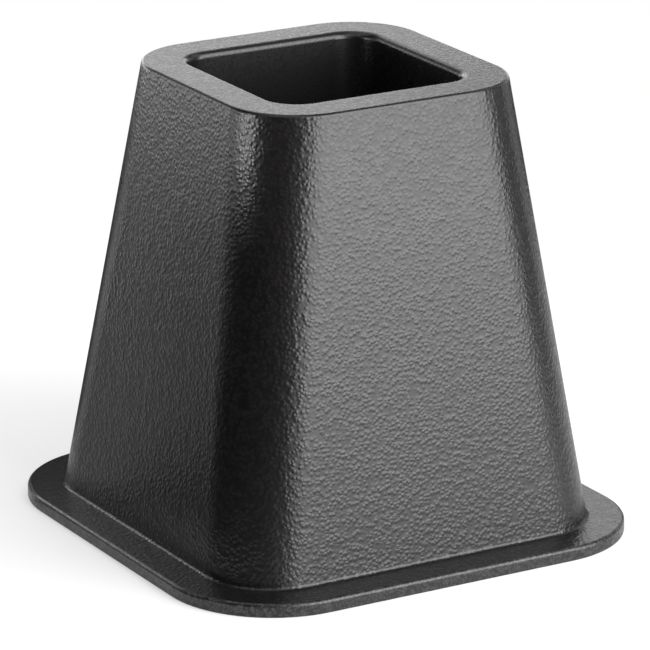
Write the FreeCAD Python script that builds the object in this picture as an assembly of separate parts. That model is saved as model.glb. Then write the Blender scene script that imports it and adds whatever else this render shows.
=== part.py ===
"""Bed riser: one moulded plastic stand that carries a bed leg in a square socket.

A flat flange stands on the ground, a tapered wall with rounded corners rises from it to a flat rim, and the
socket hangs from the rim. Underneath, the riser is open, and two crossing ribs carry the socket's floor.
The frame has +Z up, with its origin on the ground at the centre of the foot. Lengths are in millimetres.
"""
import FreeCAD
import Part

import math
import os

# Tapered wall.
height = 152.4  # from the ground to the rim's flat top
foot_width = 140.0  # across the wall's flats where it leaves the flange
corner_radius = 24.5  # the wall's four upright corners, the same from foot to rim
wall = 3.0  # thickness, measured square to the wall's face
foot_fillet = 1.2  # hollow round between the wall and the flange

# Flange.
flange_overhang = 12.4  # from the wall's foot to the flange's edge
flange_thickness = 4.6
flange_edge_radius = 1.2  # round on the upper edge
flange_sole_radius = 0.5  # round on the edge that meets the ground

# Leg socket and the rim around it.
socket_width = 70.6  # across the socket's flats at the rim's level
socket_depth = 38.0
socket_corner_radius = 10.5
socket_draft = 1.5  # degrees that each socket wall leans out towards the mouth
socket_wall = 3.0
socket_floor = 4.0
socket_floor_fillet = 2.0  # hollow round between the socket's walls and its floor
mouth_radius = 2.2  # round where the socket opens into the rim
rim_land = 14.7  # from the socket's wall to the outside of the tapered wall, at the rim's level
rim_thickness = 3.5
rim_edge_radius = 1.2  # round on the rim's outer edge

# Ribs under the socket.
rib_thickness = 3.0
rib_lift = 1.0  # from the ground to the ribs' lower edges, so that only the flange bears

# Sizes that follow from those above.
flange_width = foot_width + 2 * flange_overhang
flange_corner_radius = corner_radius + flange_overhang
rim_width = socket_width + 2 * rim_land
wall_lean = (foot_width - rim_width) / 2 / (height - flange_thickness)  # inward run for each unit of rise
wall_run = wall * math.hypot(1, wall_lean)  # the wall's thickness, measured level
socket_lean = math.tan(math.radians(socket_draft))
socket_floor_z = height - socket_depth
cup_base_z = socket_floor_z - socket_floor


def wall_width(z):
    """Width across the outside of the tapered wall at height z."""
    return foot_width - 2 * wall_lean * (z - flange_thickness)


def socket_width_at(z):
    """Width across the inside of the socket at height z."""
    return socket_width + 2 * socket_lean * (z - height)


def rounded_square(width, radius, z):
    """Closed wire: a level square of the given width about the Z axis, with its corners rounded."""
    reach = width / 2 - radius
    arcs = []
    for turn in range(4):
        middle = math.radians(45 + 90 * turn)
        centre = FreeCAD.Vector(math.copysign(reach, math.cos(middle)), math.copysign(reach, math.sin(middle)), z)
        up = FreeCAD.Vector(0, 0, 1)
        arcs.append(Part.makeCircle(radius, centre, up, 90 * turn, 90 * (turn + 1)))
    edges = []
    for arc, following in zip(arcs, arcs[1:] + arcs[:1]):
        edges.append(arc)
        edges.append(Part.makeLine(arc.Vertexes[-1].Point, following.Vertexes[0].Point))
    return Part.Wire(edges)


def tapered_block(low, high):
    """Solid between two level outlines with the same corner radius: flat sides and straight-ruled corners."""
    faces = [Part.Face(low), Part.Face(high)]
    for lower, upper in zip(low.OrderedEdges, high.OrderedEdges):
        lower_ends = [vertex.Point for vertex in lower.Vertexes]
        upper_ends = [vertex.Point for vertex in upper.Vertexes]
        if isinstance(lower.Curve, Part.Circle):
            faces.append(lower.extrude(upper_ends[0] - lower_ends[0]))
        else:
            faces.append(Part.Face(Part.makePolygon(lower_ends + upper_ends[::-1] + lower_ends[:1])))
    return Part.makeSolid(Part.makeShell(faces))


def edges_along(shape, outline):
    """Edges of the shape whose ends and middle all lie on the outline."""
    on_outline = []
    for edge in shape.Edges:
        middle = edge.valueAt((edge.FirstParameter + edge.LastParameter) / 2)
        points = [vertex.Point for vertex in edge.Vertexes] + [middle]
        gaps = [outline.distToShape(Part.Vertex(point))[0] for point in points]
        if max(gaps) < 1e-4:
            on_outline.append(edge)
    return on_outline


def rounded_along(shape, outline, radius):
    """The shape with its edges along the outline rounded or filleted to the radius."""
    return shape.makeFillet(radius, edges_along(shape, outline))


def outside():
    """The riser as a block with no hollows: tapered wall on its flange, with the outer edges rounded."""
    foot_outline = rounded_square(foot_width, corner_radius, flange_thickness)
    rim_outline = rounded_square(rim_width, corner_radius, height)
    tower = tapered_block(foot_outline, rim_outline)
    sole_outline = rounded_square(flange_width, flange_corner_radius, 0)
    edge_outline = rounded_square(flange_width, flange_corner_radius, flange_thickness)
    flange = tapered_block(sole_outline, edge_outline)
    block = tower.fuse(flange)
    block = rounded_along(block, foot_outline, foot_fillet)
    block = rounded_along(block, rim_outline, rim_edge_radius)
    block = rounded_along(block, edge_outline, flange_edge_radius)
    return rounded_along(block, sole_outline, flange_sole_radius)


def with_socket(block):
    """The block with the leg socket sunk into its top."""
    over_z = height + mouth_radius
    floor_outline = rounded_square(socket_width_at(socket_floor_z), socket_corner_radius, socket_floor_z)
    over_outline = rounded_square(socket_width_at(over_z), socket_corner_radius, over_z)
    mouth_outline = rounded_square(socket_width, socket_corner_radius, height)
    sunk = block.cut(tapered_block(floor_outline, over_outline))
    sunk = rounded_along(sunk, mouth_outline, mouth_radius)
    return rounded_along(sunk, floor_outline, socket_floor_fillet)


def underside_hollow():
    """The space under the riser: inside the wall, around the socket's cup, and between the ribs."""
    ceiling_z = height - rim_thickness
    inner_radius = corner_radius - wall
    space = tapered_block(
        rounded_square(wall_width(0) - 2 * wall_run, inner_radius, 0),
        rounded_square(wall_width(ceiling_z) - 2 * wall_run, inner_radius, ceiling_z),
    )
    cup_radius = socket_corner_radius + socket_wall
    cup = tapered_block(
        rounded_square(socket_width_at(cup_base_z) + 2 * socket_wall, cup_radius, cup_base_z),
        rounded_square(socket_width + 2 * socket_wall, cup_radius, height),
    )
    length = flange_width
    rib = Part.makeBox(length, rib_thickness, height, FreeCAD.Vector(-length / 2, -rib_thickness / 2, rib_lift))
    cross_rib = rib.copy()
    cross_rib.rotate(FreeCAD.Vector(0, 0, 0), FreeCAD.Vector(0, 0, 1), 90)
    return space.cut([cup, rib, cross_rib])


os.makedirs("parts", exist_ok=True)
riser_body = with_socket(outside()).cut(underside_hollow())
riser_body = riser_body.Solids[0]
riser_body.exportStep("parts/riser_body.step")
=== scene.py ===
"""Bed riser: the finish of its moulded plastic, and a plain studio around it.

Lengths are in metres, in the frame of the part: +Z is up, and the origin is on the ground under the centre.
An azimuth is in degrees, turned from +X towards +Y.
"""

import math

import bpy
import numpy as np
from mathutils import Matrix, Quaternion, Vector


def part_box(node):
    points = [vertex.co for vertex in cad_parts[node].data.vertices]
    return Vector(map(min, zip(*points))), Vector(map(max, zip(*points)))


bl_info = {
    "name": "Bed riser",
    "version": (1, 0, 0),
    "blender": (4, 5, 0),
    "location": "3D View > Sidebar > Bed riser",
    "description": "Finishes a moulded bed riser and sets it in a plain studio",
    "category": "Object",
}

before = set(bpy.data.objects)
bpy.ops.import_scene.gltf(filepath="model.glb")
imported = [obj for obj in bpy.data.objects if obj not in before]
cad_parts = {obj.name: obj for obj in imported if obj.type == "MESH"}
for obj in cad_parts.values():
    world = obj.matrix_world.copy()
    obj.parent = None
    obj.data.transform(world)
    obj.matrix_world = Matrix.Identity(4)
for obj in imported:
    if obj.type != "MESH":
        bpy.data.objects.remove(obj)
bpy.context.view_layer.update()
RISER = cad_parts["riser_body"]
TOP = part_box("riser_body")[1]

MM = 0.001

# Where the finishes end.
FLANGE_THICKNESS = 4.6 * MM
MOUTH_ROUND = 2.2 * MM  # round where the socket opens into the rim
EDGE_ROUND = 1.2 * MM  # rounds on the rim's and the flange's outer edges
RIM_INSIDE = 41 * MM  # from the axis to a line between the socket's mouth and the wall's outside at the rim
FLANGE_INSIDE = 70 * MM  # from the axis to a line between the hollow underneath and the flange's edge
WALL_TOP = TOP.z - 0.6 * EDGE_ROUND  # the wall's grain ends on the round of the rim's outer edge
WALL_RISE = 0.85  # on the wall, the upward part of a normal is less than this
LEVEL_RISE = 0.9  # on a level face, it is more than this
EDGE_SPREAD = 0.1  # on the flange's edge, the sideways part of a normal is more than this
SLACK = 0.01 * MM  # for faces that lie level with the flange's top

# Shape and gloss of the grain in every finish.
PEBBLE_REACH = 0.8  # from a pebble's middle to where it has fallen away, as a share of the grain's spacing
WAVE_RATE = 0.5  # slow waves for each pebble
WAVE_HEIGHT = 0.9  # height of the waves, as a share of a pebble's
PIT_HEIGHT = 0.55  # the pits' painted shade and gloss are full below this height, as a share of a pebble's
PEAK_HEIGHT = 1.25  # the peaks' colour and gloss are full above this one
PIT_ROUGHER = 0.02  # added to the roughness in the pits
PEAK_SMOOTHER = 0.08  # taken off the roughness on the peaks
FLOW_ROUGHER = 0.06  # the most that the slow drift in the gloss adds to the roughness
FLOW_SIZE = 45 * MM  # spacing of that drift, which the plastic's flow into the mould leaves
PLASTIC_IOR = 1.5

# Roughness of each finish before its grain changes it, and depth of the faint grains as a share of the rim's.
PEBBLED_ROUGHNESS = 0.33
SANDBLASTED_ROUGHNESS = 0.4
TRIMMED_ROUGHNESS = 0.35
POLISHED_ROUGHNESS = 0.3
TRIMMED_DEPTH = 0.15
POLISHED_DEPTH = 0.08

# Floor.
FLOOR_RADIUS = 4.0
FLOOR_STEPS = 96
SHADED_RADIUS = 0.16  # within this radius the floor shows most of its own shading
PLAIN_RADIUS = 0.42  # beyond this one it is plain white
PLAIN_SHARE = 0.4  # share of plain white within the shaded radius

# Flags and cards that reach down to the floor stop just above it: the nearer flags by the first gap, the
# cards and the flags farther out by the second.
FLAG_GAP = 0.5 * MM
CARD_GAP = 1.5 * MM

# Each flag's name, first and last azimuth, and profile of (radius, height) points.
FLAGS = (
    ("front_flag", 179, 258, [(0.155, FLAG_GAP), (0.36, FLAG_GAP), (0.36, 0.45)]),
    ("left_front_flag", 176, 204, [(0.125, FLAG_GAP), (0.125, 0.135)]),
    ("left_floor_flag", 146, 190, [(0.10, FLAG_GAP), (0.13, FLAG_GAP)]),
    ("left_end_flag", 80, 113, [(0.16, FLAG_GAP), (0.16, 0.11)]),
    ("right_flag", 325, 358, [(0.50, CARD_GAP), (0.50, 0.50)]),
    ("back_flag", 15, 100, [(0.46, CARD_GAP), (0.46, 0.105)]),
    ("back_right_flag", 15, 55, [(0.44, 0.30), (0.44, 0.52)]),
    ("back_left_flag", 64, 100, [(0.40, CARD_GAP), (0.40, 0.158)]),
    ("left_side_flag", 97, 114, [(0.13, FLAG_GAP), (0.34, FLAG_GAP), (0.34, 0.10)]),
    ("left_wing_flag", 134, 192, [(0.34, FLAG_GAP), (0.34, 0.10)]),
    ("left_wing_floor_flag", 142, 192, [(0.13, FLAG_GAP), (0.34, FLAG_GAP)]),
    ("left_top_flag", 92, 180, [(0.36, 0.30), (0.36, 0.70)]),
    ("top_flag", 295, 408, [(0.0, 0.95), (0.60, 0.95)]),
)

WHITE = (1, 1, 1, 1)
SENSOR_WIDTH = 36  # in millimetres, as Blender's cameras have it


def linear(hex_colour):
    """Linear RGBA of an sRGB colour written as hex digits."""
    channels = [int(hex_colour[i:i + 2], 16) / 255 for i in (1, 3, 5)]
    return [c / 12.92 if c <= 0.04045 else ((c + 0.055) / 1.055) ** 2.4 for c in channels] + [1.0]


class RiserFinish(bpy.types.PropertyGroup):
    """What the moulded plastic looks like."""

    # Painted shade: the colour in the pits of the grain is darker than on its peaks.
    colour: bpy.props.FloatVectorProperty(
        name="Plastic", description="Colour of the plastic itself, as in the pits of its grain",
        subtype="COLOR", size=4, min=0, max=1, default=linear("#0d0b0c"))
    lit_peak_colour: bpy.props.FloatVectorProperty(
        name="Peaks", description="Colour of the plastic on the peaks of its grain",
        subtype="COLOR", size=4, min=0, max=1, default=linear("#191718"))
    # The trimmed edge's peaks are paler partly as trimmed plastic is and partly as a painted reflection of
    # the bright floor.
    edge_colour: bpy.props.FloatVectorProperty(
        name="Flange edge", description="Colour of the peaks where the flange's edge was trimmed",
        subtype="COLOR", size=4, min=0, max=1, default=linear("#353434"))
    pebble_size: bpy.props.FloatProperty(
        name="Pebble size", description="Spacing of the grain on the tapered wall and the flange",
        unit="LENGTH", precision=5, default=1.35 * MM)
    pebble_depth: bpy.props.FloatProperty(
        name="Pebble depth", description="Height of the grain on the tapered wall and the flange",
        unit="LENGTH", precision=6, default=0.10 * MM)
    sand_size: bpy.props.FloatProperty(
        name="Sand size", description="Spacing of the fine grain on the rim",
        unit="LENGTH", precision=5, default=0.9 * MM)
    sand_depth: bpy.props.FloatProperty(
        name="Sand depth", description="Height of the fine grain on the rim",
        unit="LENGTH", precision=6, default=0.07 * MM)


class RiserStudio(bpy.types.PropertyGroup):
    """Where the camera stands, and how bright the lamps are; brightness 1 looks white when seen directly."""

    camera_place: bpy.props.FloatVectorProperty(
        name="Camera", description="Where the camera stands", subtype="TRANSLATION",
        default=(-0.7683, -1.3052, 0.5547))
    camera_aim: bpy.props.FloatVectorProperty(
        name="Aim", description="Point at the middle of the picture", subtype="TRANSLATION",
        default=(-0.0013, -0.0031, 0.0657))
    camera_roll: bpy.props.FloatProperty(
        name="Roll", description="Turn of the camera about its line of sight", subtype="ANGLE",
        default=math.radians(0.136))
    lens: bpy.props.FloatProperty(
        name="Lens", description="Focal length for a sensor 36 mm wide", unit="CAMERA", default=268.1)
    floor_colour: bpy.props.FloatVectorProperty(
        name="Floor", description="Colour of the floor", subtype="COLOR", size=4, min=0, max=1,
        default=linear("#f4f4f4"))
    right_lamp: bpy.props.FloatProperty(
        name="Right softbox", description="Brightness of the tall softbox on the right", default=6.1)
    left_lamp: bpy.props.FloatProperty(
        name="Left softboxes", default=2.0,
        description="Brightness that the lit card and the small lamps on the left are multiples of")
    back_lamp: bpy.props.FloatProperty(
        name="Back softbox", description="Brightness of the softbox behind", default=1.7)
    room_light: bpy.props.FloatProperty(
        name="Room", description="Brightness of the light that the room sends from all sides", default=0.6)


def add_node(tree, kind, settings=None, **inputs):
    """Adds a node, sets its properties from settings and its inputs from values or from output sockets.

    An input is given by its name, with underscores for spaces, or by an underscore and its number.
    """
    node = tree.nodes.new(kind)
    for name, value in (settings or {}).items():
        setattr(node, name, value)
    for name, value in inputs.items():
        socket = node.inputs[int(name[1:])] if name[0] == "_" else node.inputs[name.replace("_", " ")]
        if isinstance(value, bpy.types.NodeSocket):
            tree.links.new(value, socket)
        else:
            socket.default_value = value
    return node


def new_material(name):
    """An empty node material and its tree."""
    material = bpy.data.materials.new(name)
    material.use_nodes = True
    material.node_tree.nodes.clear()
    return material, material.node_tree


def plastic(name, shaded_pit_colour, lit_peak_colour, roughness, grain_size, grain_depth):
    """Moulded polypropylene: its height is a field of pebbles, each falling smoothly from its middle to its
    border, on slower waves; the pits are darker than the peaks, which is painted shade in the hollows of
    the grain, the peaks are glossier than the pits, and the gloss drifts a little over the part.
    """
    material, tree = new_material(name)
    place = add_node(tree, "ShaderNodeTexCoord").outputs["Object"]
    cell = add_node(tree, "ShaderNodeTexVoronoi", Vector=place, Scale=1 / grain_size)
    pebble = add_node(tree, "ShaderNodeMapRange", {"interpolation_type": "SMOOTHSTEP"},
                      Value=cell.outputs["Distance"], From_Max=PEBBLE_REACH, To_Min=1.0, To_Max=0.0)
    waves = add_node(tree, "ShaderNodeTexNoise", Vector=place, Scale=WAVE_RATE / grain_size, Detail=0.0)
    height = add_node(tree, "ShaderNodeMath", {"operation": "MULTIPLY_ADD"},
                      _0=waves.outputs["Fac"], _1=WAVE_HEIGHT, _2=pebble.outputs["Result"])
    bump = add_node(tree, "ShaderNodeBump", Height=height.outputs[0], Distance=grain_depth, Strength=1.0)
    # Painted shade: the colour darkens from the peaks into the pits.
    peak = add_node(tree, "ShaderNodeMapRange",
                    Value=height.outputs[0], From_Min=PIT_HEIGHT, From_Max=PEAK_HEIGHT)
    colour = add_node(tree, "ShaderNodeMix", {"data_type": "RGBA"},
                      Factor=peak.outputs["Result"], _6=shaded_pit_colour, _7=lit_peak_colour)
    drift = add_node(tree, "ShaderNodeTexNoise", Vector=place, Scale=1 / FLOW_SIZE, Detail=2.0)
    gloss = add_node(tree, "ShaderNodeMapRange", Value=peak.outputs["Result"],
                     To_Min=roughness + PIT_ROUGHER, To_Max=roughness - PEAK_SMOOTHER)
    rough = add_node(tree, "ShaderNodeMath", {"operation": "MULTIPLY_ADD"},
                     _0=drift.outputs["Fac"], _1=FLOW_ROUGHER, _2=gloss.outputs["Result"])
    shader = add_node(tree, "ShaderNodeBsdfPrincipled", Base_Color=colour.outputs[2],
                      Roughness=rough.outputs[0], IOR=PLASTIC_IOR, Normal=bump.outputs["Normal"])
    add_node(tree, "ShaderNodeOutputMaterial", Surface=shader.outputs["BSDF"])
    return material


def finish_zones(mesh):
    """Which finish each face has: 0 on the pebbled wall and the flange's top, 1 on the fine-grained rim, 2 on
    the trimmed flange edge and 3 on the smooth rest.

    A face is on the tapered wall where it looks outwards between the flange and the rim.
    """
    count = len(mesh.polygons)
    centres = np.empty(count * 3, np.float32)
    normals = np.empty(count * 3, np.float32)
    mesh.polygons.foreach_get("center", centres)
    mesh.polygons.foreach_get("normal", normals)
    x, y, z = centres.reshape(-1, 3).T
    nx, ny, nz = normals.reshape(-1, 3).T
    reach = np.maximum(abs(x), abs(y))
    outwards = nx * x + ny * y > 0
    outside = reach > RIM_INSIDE
    level = nz > LEVEL_RISE
    wall = outwards & outside & (nz < WALL_RISE) & (z > FLANGE_THICKNESS) & (z < WALL_TOP)
    rim = level & (z > TOP.z - MOUTH_ROUND)
    ledge = level & outside & (z > FLANGE_THICKNESS - SLACK) & (z < FLANGE_THICKNESS + EDGE_ROUND)
    edge = outwards & (reach > FLANGE_INSIDE) & (z < FLANGE_THICKNESS) & (np.hypot(nx, ny) > EDGE_SPREAD)
    return np.select([wall | ledge, rim, edge], [0, 1, 2], 3)


class OBJECT_OT_finish_riser(bpy.types.Operator):
    """Gives the riser its finishes: pebbled, fine-grained, trimmed and smooth"""

    bl_idname = "object.finish_riser"
    bl_label = "Finish riser"

    def execute(self, context):
        finish = context.scene.riser_finish
        mesh = RISER.data
        zones = finish_zones(mesh)
        mesh.materials.clear()
        # Each finish has painted shade in the pits of its grain, darker than its peaks.
        pit, peak, edge = finish.colour, finish.lit_peak_colour, finish.edge_colour
        # Polypropylene moulded against etched steel: rounded pebbles whose tops sparkle in the light.
        mesh.materials.append(plastic("pebbled_polypropylene", pit, peak, PEBBLED_ROUGHNESS,
                                      finish.pebble_size, finish.pebble_depth))
        # Polypropylene moulded against sandblasted steel: a fine, even, satin grain.
        mesh.materials.append(plastic("sandblasted_polypropylene", pit, peak, SANDBLASTED_ROUGHNESS,
                                      finish.sand_size, finish.sand_depth))
        # Polypropylene trimmed after moulding: nearly smooth, and a little paler than the moulded skin,
        # partly as trimmed plastic is and partly as a painted reflection of the bright floor.
        mesh.materials.append(plastic("trimmed_polypropylene", pit, edge, TRIMMED_ROUGHNESS,
                                      finish.sand_size, TRIMMED_DEPTH * finish.sand_depth))
        # Polypropylene moulded against polished steel: smooth and dark, with only a faint unevenness.
        mesh.materials.append(plastic("polished_polypropylene", pit, peak, POLISHED_ROUGHNESS,
                                      finish.sand_size, POLISHED_DEPTH * finish.sand_depth))
        mesh.polygons.foreach_set("material_index", zones.astype(np.int32))
        return {"FINISHED"}


def seen_rays(tree):
    """1 for rays from the camera and for those that gloss or glass sends on, 0 for the others."""
    path = add_node(tree, "ShaderNodeLightPath").outputs
    gloss = add_node(tree, "ShaderNodeMath", {"operation": "MAXIMUM"},
                     _0=path["Is Camera Ray"], _1=path["Is Glossy Ray"])
    return add_node(tree, "ShaderNodeMath", {"operation": "MAXIMUM"}, _0=gloss.outputs[0],
                    _1=path["Is Transmission Ray"]).outputs[0]


def white_paper(colour):
    """White paper, matt; away from the riser it looks plain white, so that it has no horizon."""
    material, tree = new_material("white_paper")
    place = add_node(tree, "ShaderNodeTexCoord").outputs["Object"]
    radius = add_node(tree, "ShaderNodeVectorMath", {"operation": "LENGTH"}, _0=place).outputs["Value"]
    far = add_node(tree, "ShaderNodeMapRange", {"interpolation_type": "SMOOTHSTEP"}, Value=radius,
                   From_Min=SHADED_RADIUS, From_Max=PLAIN_RADIUS, To_Min=PLAIN_SHARE)
    plain = add_node(tree, "ShaderNodeMath", {"operation": "MULTIPLY"},
                     _0=far.outputs["Result"], _1=seen_rays(tree))
    diffuse = add_node(tree, "ShaderNodeBsdfDiffuse", Color=colour)
    white = add_node(tree, "ShaderNodeEmission", Color=WHITE, Strength=1.0)
    mix = add_node(tree, "ShaderNodeMixShader", Fac=plain.outputs[0],
                   _1=diffuse.outputs["BSDF"], _2=white.outputs["Emission"])
    add_node(tree, "ShaderNodeOutputMaterial", Surface=mix.outputs["Shader"])
    return material


def matt(name, colour):
    """Matt material of one colour."""
    material, tree = new_material(name)
    shader = add_node(tree, "ShaderNodeBsdfDiffuse", Color=colour)
    add_node(tree, "ShaderNodeOutputMaterial", Surface=shader.outputs["BSDF"])
    return material


def lit_card(brightness):
    """Card that glows evenly. It is found by reflected rays alone, so that a flag in front of it hides it."""
    material, tree = new_material("lit_card")
    material.cycles.emission_sampling = "NONE"
    shader = add_node(tree, "ShaderNodeEmission", Color=WHITE, Strength=brightness)
    add_node(tree, "ShaderNodeOutputMaterial", Surface=shader.outputs["Emission"])
    return material


def stage_sheet(name, material, start, end, profile, steps=24):
    """Stage sheet: a profile of (radius, height) points carried about the Z axis from one azimuth to another.

    A point is (r cos a, r sin a, h), for each (r, h) of the profile and each azimuth a.
    """
    turn = np.radians(np.linspace(start, end, steps + 1))
    radius, height = np.array(profile).T
    points = np.stack([np.outer(radius, np.cos(turn)), np.outer(radius, np.sin(turn)),
                       np.repeat(height[:, None], steps + 1, 1)], -1)
    index = np.arange(points.size // 3).reshape(len(profile), steps + 1)
    faces = np.stack([index[:-1, :-1], index[:-1, 1:], index[1:, 1:], index[1:, :-1]], -1).reshape(-1, 4)
    mesh = bpy.data.meshes.new(name)
    mesh.from_pydata(points.reshape(-1, 3), [], faces)
    mesh.materials.append(material)
    sheet = bpy.data.objects.new(name, mesh)
    bpy.context.scene.collection.objects.link(sheet)
    return sheet


def add_flag(name, material, start, end, profile):
    """Flag or card: only reflections see it, so that it shades or lights the gloss and not the floor."""
    flag = stage_sheet(name, material, start, end, profile)
    flag.visible_camera = False
    flag.visible_diffuse = False
    flag.visible_shadow = False


def add_softbox(name, azimuth, distance, low, high, width, brightness):
    """Upright soft lamp that faces the riser's axis, from one height to another."""
    data = bpy.data.lights.new(name, "AREA")
    data.shape = "RECTANGLE"
    data.size = width
    data.size_y = high - low
    data.energy = brightness * math.pi * width * (high - low)
    lamp = bpy.data.objects.new(name, data)
    turn = math.radians(azimuth)
    away = Vector((math.cos(turn), math.sin(turn), 0))
    lamp.location = distance * away + Vector((0, 0, (low + high) / 2))
    lamp.rotation_mode = "QUATERNION"
    lamp.rotation_quaternion = (-away).to_track_quat("-Z", "Y")
    lamp.visible_camera = False
    bpy.context.scene.collection.objects.link(lamp)


def add_world(scene, room_light):
    """World that lights the scene as a room does, and looks plain white itself."""
    world = bpy.data.worlds.new("studio")
    scene.world = world
    world.use_nodes = True
    tree = world.node_tree
    tree.nodes.clear()
    room = add_node(tree, "ShaderNodeBackground", Color=WHITE, Strength=room_light)
    white = add_node(tree, "ShaderNodeBackground", Color=WHITE, Strength=1.0)
    mix = add_node(tree, "ShaderNodeMixShader", Fac=seen_rays(tree),
                   _1=room.outputs["Background"], _2=white.outputs["Background"])
    add_node(tree, "ShaderNodeOutputWorld", Surface=mix.outputs["Shader"])


def add_camera(scene, studio):
    """Camera at its place, turned to its aim and rolled about its line of sight."""
    data = bpy.data.cameras.new("camera")
    data.lens = studio.lens
    data.sensor_width = SENSOR_WIDTH
    camera = bpy.data.objects.new("camera", data)
    camera.location = studio.camera_place
    camera.rotation_mode = "QUATERNION"
    sight = Vector(studio.camera_aim) - Vector(studio.camera_place)
    roll = Quaternion((0, 0, 1), studio.camera_roll)
    camera.rotation_quaternion = sight.to_track_quat("-Z", "Y") @ roll
    scene.collection.objects.link(camera)
    scene.camera = camera


class SCENE_OT_riser_studio(bpy.types.Operator):
    """Sets the floor, the flags, the cards, the lamps, the world and the camera"""

    bl_idname = "scene.riser_studio"
    bl_label = "Set studio"

    def execute(self, context):
        scene = context.scene
        studio = scene.riser_studio
        scene.view_settings.view_transform = "Standard"

        paper = white_paper(studio.floor_colour)
        stage_sheet("floor", paper, 0, 360, [(0, 0), (FLOOR_RADIUS, 0)], FLOOR_STEPS)

        # Black velvet, which takes in nearly all light.
        velvet = matt("black_velvet", linear("#050505"))
        for name, start, end, profile in FLAGS:
            add_flag(name, velvet, start, end, profile)

        # Grey card, which keeps the left wall's reflection from going black.
        grey_card = matt("grey_card", linear("#404040"))
        add_flag("left_card", grey_card, 114, 134, [(0.34, CARD_GAP), (0.34, 0.10)])

        # White card on the floor, which the lower part of the left wall reflects.
        white_card = matt("white_card", linear("#c8c8c8"))
        add_flag("left_floor_card", white_card, 114, 142, [(0.12, CARD_GAP), (0.34, CARD_GAP)])

        # Lit card, whose reflection ends part of the way down the corner, at the flag in front of it.
        glow = lit_card(8 * studio.left_lamp)
        add_flag("corner_card", glow, 166, 180, [(0.30, 0.12), (0.30, 0.21)])

        add_softbox("right_softbox", azimuth=292, distance=0.60, low=0.0, high=0.86, width=0.66,
                    brightness=studio.right_lamp)
        add_softbox("left_softbox", azimuth=131, distance=0.35, low=0.106, high=0.162, width=0.16,
                    brightness=1.4 * studio.left_lamp)
        add_softbox("left_back_softbox", azimuth=116, distance=0.325, low=0.0, high=0.07, width=0.06,
                    brightness=studio.left_lamp)
        add_softbox("left_end_softbox", azimuth=88, distance=0.36, low=0.14, high=0.24, width=0.16,
                    brightness=0.8 * studio.left_lamp)
        add_softbox("foot_softbox", azimuth=110, distance=0.34, low=0.135, high=0.20, width=0.09,
                    brightness=3.0 * studio.left_lamp)
        add_softbox("back_softbox", azimuth=62, distance=0.47, low=0.105, high=0.50, width=0.50,
                    brightness=studio.back_lamp)

        add_world(scene, studio.room_light)
        add_camera(scene, studio)
        return {"FINISHED"}


class VIEW3D_PT_bed_riser(bpy.types.Panel):
    """Lists the steps that make the riser and its studio"""

    bl_label = "Bed riser"
    bl_space_type = "VIEW_3D"
    bl_region_type = "UI"
    bl_category = "Bed riser"

    def draw(self, context):
        layout = self.layout
        for operator, settings in ((OBJECT_OT_finish_riser, context.scene.riser_finish),
                                   (SCENE_OT_riser_studio, context.scene.riser_studio)):
            box = layout.box()
            for name in settings.__annotations__:
                box.prop(settings, name)
            box.operator(operator.bl_idname)


CLASSES = (RiserFinish, RiserStudio, OBJECT_OT_finish_riser, SCENE_OT_riser_studio, VIEW3D_PT_bed_riser)


def register():
    for cls in CLASSES:
        bpy.utils.register_class(cls)
    bpy.types.Scene.riser_finish = bpy.props.PointerProperty(type=RiserFinish)
    bpy.types.Scene.riser_studio = bpy.props.PointerProperty(type=RiserStudio)


def unregister():
    del bpy.types.Scene.riser_studio
    del bpy.types.Scene.riser_finish
    for cls in reversed(CLASSES):
        bpy.utils.unregister_class(cls)


def main():
    register()
    bpy.ops.object.finish_riser()
    bpy.ops.scene.riser_studio()


if __name__ == "__main__":
    main()
